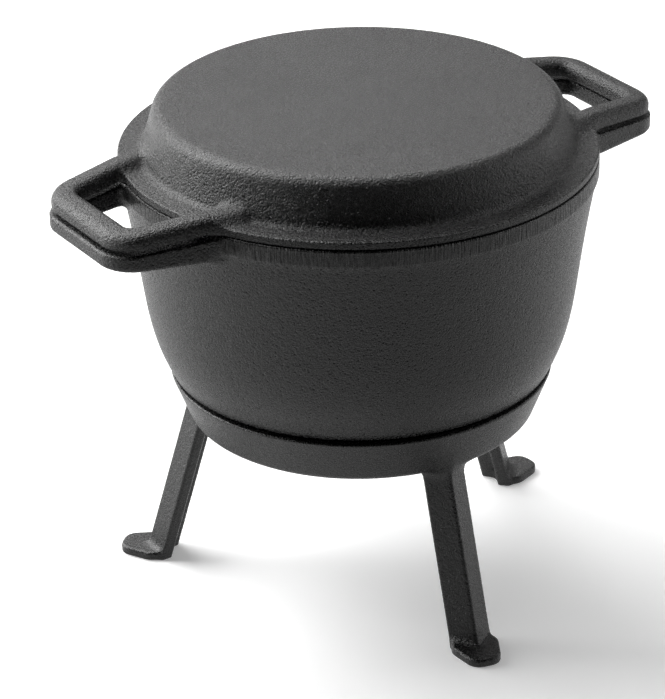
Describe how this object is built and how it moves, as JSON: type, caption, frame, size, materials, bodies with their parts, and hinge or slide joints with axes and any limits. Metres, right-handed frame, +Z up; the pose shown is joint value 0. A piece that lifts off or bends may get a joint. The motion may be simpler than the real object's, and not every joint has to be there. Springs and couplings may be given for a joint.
{
  "type": "cauldron",
  "caption": "Round cast iron cauldron with loop handles, a deep lid that doubles as a pan, and a low stand on splayed angle legs with flat feet",
  "frame": {"origin": "on the floor, on the shared upright axis of the pot, the lid and the stand's dish", "axes": "Z is up. X and Y are the two flat directions of the floor, and the overall size is largest along X. The handles lie 38.8 degrees from X, towards Y."},
  "size_m": [0.3122, 0.2726, 0.282],
  "materials": {
    "pot_iron": "seasoned sand-cast iron, fine grain, satin black",
    "lid_iron": "seasoned sand-cast iron, pebbled grain, satin black",
    "stand_iron": "seasoned sand-cast iron, fine grain, satin black"
  },
  "bodies": {
    "stand": {"tripod_stand": "stand_iron"},
    "pot": {"cauldron_pot": "pot_iron"},
    "lid": {"lid_pan": "lid_iron"}
  },
  "joints": [
    {"name": "pot_lift", "type": "slide", "parent": "stand", "child": "pot", "axis": [0, 0, 1], "range_m": [0, 0.08]},
    {"name": "lid_lift", "type": "slide", "parent": "pot", "child": "lid", "axis": [0, 0, 1], "range_m": [0, 0.08]}
  ]
}
